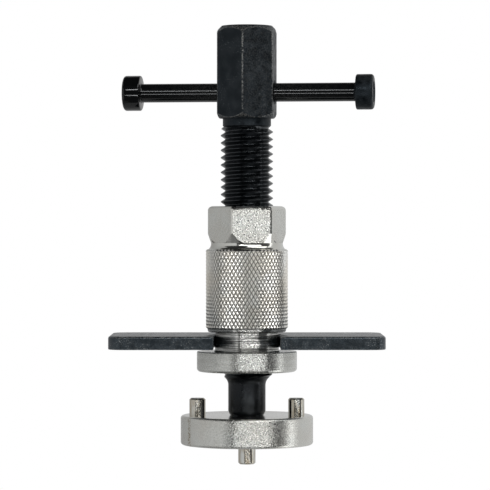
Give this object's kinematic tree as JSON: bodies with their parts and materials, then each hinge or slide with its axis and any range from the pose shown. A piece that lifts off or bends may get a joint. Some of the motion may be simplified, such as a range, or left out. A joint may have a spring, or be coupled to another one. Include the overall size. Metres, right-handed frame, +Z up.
{
  "type": "brake caliper piston tool",
  "caption": "Screw press that winds a brake caliper piston back: threaded spindle with a tommy bar, knurled thrust nut, slotted reaction plate and a pinned adaptor disc.",
  "frame": {"origin": "on the spindle's axis, at the adaptor disc's lower face, in the middle of its lower pins", "axes": "+Z up along the spindle towards the hexagon head, X along the reaction plate and the upper pins, -Y towards the open end of the plate's slot"},
  "size_m": [0.093, 0.045, 0.1477],
  "materials": {
    "black": "black oxide, semi-gloss",
    "nickel": "satin nickel plate",
    "steel": "bare hardened steel"
  },
  "bodies": {
    "spindle": {"spindle": "black", "detent_spring": "steel"},
    "reaction_plate": {"reaction_plate": "black"},
    "thrust_nut": {"thrust_nut": "nickel"},
    "tommy_bar": {"tommy_bar": "black", "tommy_bar_cap_left": "black", "tommy_bar_cap_right": "black"},
    "adaptor": {"adaptor_disc": "nickel", "upper_pin_left": "nickel", "upper_pin_right": "nickel", "lower_pin_front": "nickel", "lower_pin_rear": "nickel"},
    "detent": {"detent_ball": "steel"}
  },
  "joints": [
    {"name": "plate_travel", "type": "slide", "parent": "spindle", "child": "reaction_plate", "axis": [0, 0, 1], "range_m": [-0.008, 0.027]},
    {"name": "nut_turn", "type": "hinge", "parent": "reaction_plate", "child": "thrust_nut", "pos_m": [0, 0, 0.05], "axis": [0, 0, 1], "range_deg": [-1152, 3888]},
    {"name": "bar_slide", "type": "slide", "parent": "spindle", "child": "tommy_bar", "axis": [0.9903, -0.1392, 0], "range_m": [-0.0275, 0.0265]},
    {"name": "disc_pull", "type": "slide", "parent": "spindle", "child": "adaptor", "axis": [0, 0, -1], "range_m": [0, 0.012]},
    {"name": "ball_press", "type": "slide", "parent": "spindle", "child": "detent", "axis": [0, 1, 0], "range_m": [-0.0004, 0], "stiffness_N_per_m": 6000, "springref_m": 0.0005, "deforming": ["detent_spring"]}
  ],
  "couplings": [
    {"joint": "plate_travel", "follows": "nut_turn", "m_per_rad": 0.00039789}
  ]
}
